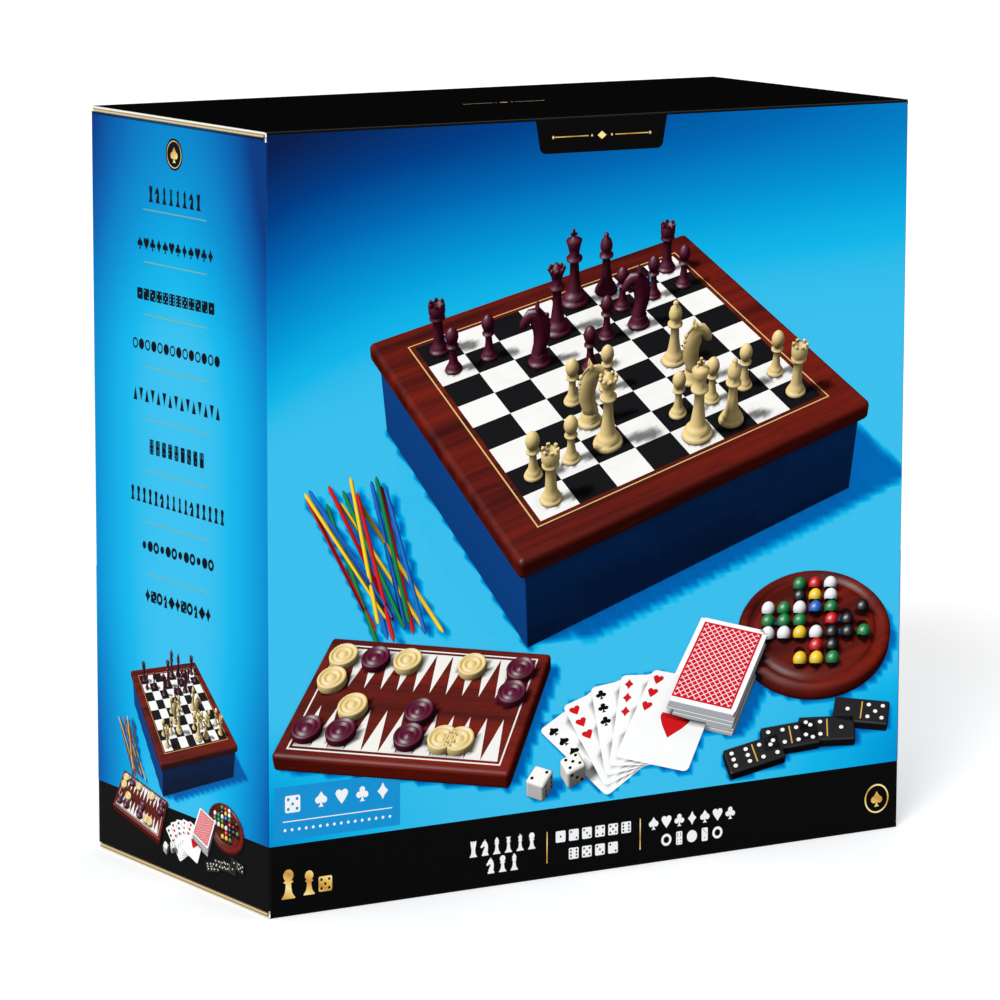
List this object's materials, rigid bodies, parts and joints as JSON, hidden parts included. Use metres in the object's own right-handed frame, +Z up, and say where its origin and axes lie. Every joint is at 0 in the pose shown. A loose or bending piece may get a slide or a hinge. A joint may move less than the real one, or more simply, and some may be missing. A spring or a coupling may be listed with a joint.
{
  "type": "games compendium box",
  "caption": "Printed corrugated carton with folding top flaps, holding a wooden games cabinet with sliding boards, a divided drawer and playing pieces between foam end caps.",
  "frame": {"origin": "middle of the carton's underside, on the surface it stands on", "axes": "+X to the carton's right seen from the front, +Y towards its back, +Z up"},
  "size_m": [0.374, 0.1764, 0.3778],
  "materials": {
    "printed_board": "satin",
    "black_printed_board": "satin",
    "plain_board": "matte",
    "foam": "matte",
    "booklet_paper": "satin",
    "mahogany_wood": "satin",
    "navy_painted_wood": "satin",
    "marble_plastic": "gloss",
    "stick_plastic": "gloss",
    "card_box_board": "satin",
    "domino_plastic": "gloss",
    "dice_plastic": "gloss",
    "cream_plastic": "gloss",
    "burgundy_plastic": "gloss"
  },
  "bodies": {
    "carton": {"front_panel": "printed_board", "left_panel": "printed_board", "back_panel": "printed_board", "right_panel": "printed_board", "glue_tab": "plain_board", "bottom_outer_flap": "black_printed_board", "bottom_inner_flap": "plain_board", "bottom_dust_flap_left": "plain_board", "bottom_dust_flap_right": "plain_board", "foam_cap_left": "foam", "foam_cap_right": "foam", "rules_booklet": "booklet_paper", "cabinet_top": "mahogany_wood", "cabinet_side_left": "navy_painted_wood", "cabinet_side_right": "navy_painted_wood", "cabinet_back": "navy_painted_wood", "cabinet_base": "mahogany_wood", "runners_upper": "mahogany_wood", "runners_lower": "mahogany_wood", "ludo_board": "mahogany_wood", "backgammon_board": "mahogany_wood", "drawer_front": "navy_painted_wood", "drawer_side_left": "mahogany_wood", "drawer_side_right": "mahogany_wood", "drawer_back": "mahogany_wood", "drawer_bottom": "mahogany_wood", "drawer_dividers": "mahogany_wood", "marbles": "marble_plastic", "pick_up_sticks": "stick_plastic", "card_packs": "card_box_board", "dominoes": "domino_plastic", "dice": "dice_plastic", "draughts_light": "cream_plastic", "draughts_dark": "burgundy_plastic", "chess_light": "cream_plastic", "chess_dark": "burgundy_plastic"},
    "top_outer": {"top_outer_flap": "black_printed_board"},
    "top_inner": {"top_inner_flap": "plain_board"},
    "dust_left": {"top_dust_flap_left": "plain_board"},
    "dust_right": {"top_dust_flap_right": "plain_board"}
  },
  "joints": [
    {"name": "top_outer_hinge", "type": "hinge", "parent": "carton", "child": "top_outer", "pos_m": [0, -0.0882, 0.3778], "axis": [1, 0, 0], "range_deg": [0, 230]},
    {"name": "top_inner_hinge", "type": "hinge", "parent": "carton", "child": "top_inner", "pos_m": [0, 0.0882, 0.3754], "axis": [-1, 0, 0], "range_deg": [0, 210]},
    {"name": "dust_left_hinge", "type": "hinge", "parent": "carton", "child": "dust_left", "pos_m": [-0.187, 0, 0.3754], "axis": [0, -1, 0], "range_deg": [0, 110]},
    {"name": "dust_right_hinge", "type": "hinge", "parent": "carton", "child": "dust_right", "pos_m": [0.187, 0, 0.3754], "axis": [0, 1, 0], "range_deg": [0, 110]}
  ],
  "couplings": [
    {"joint": "top_inner_hinge", "follows": "top_outer_hinge", "ratio": 0.9},
    {"joint": "dust_left_hinge", "follows": "top_outer_hinge", "ratio": 0.46},
    {"joint": "dust_right_hinge", "follows": "top_outer_hinge", "ratio": 0.46}
  ]
}
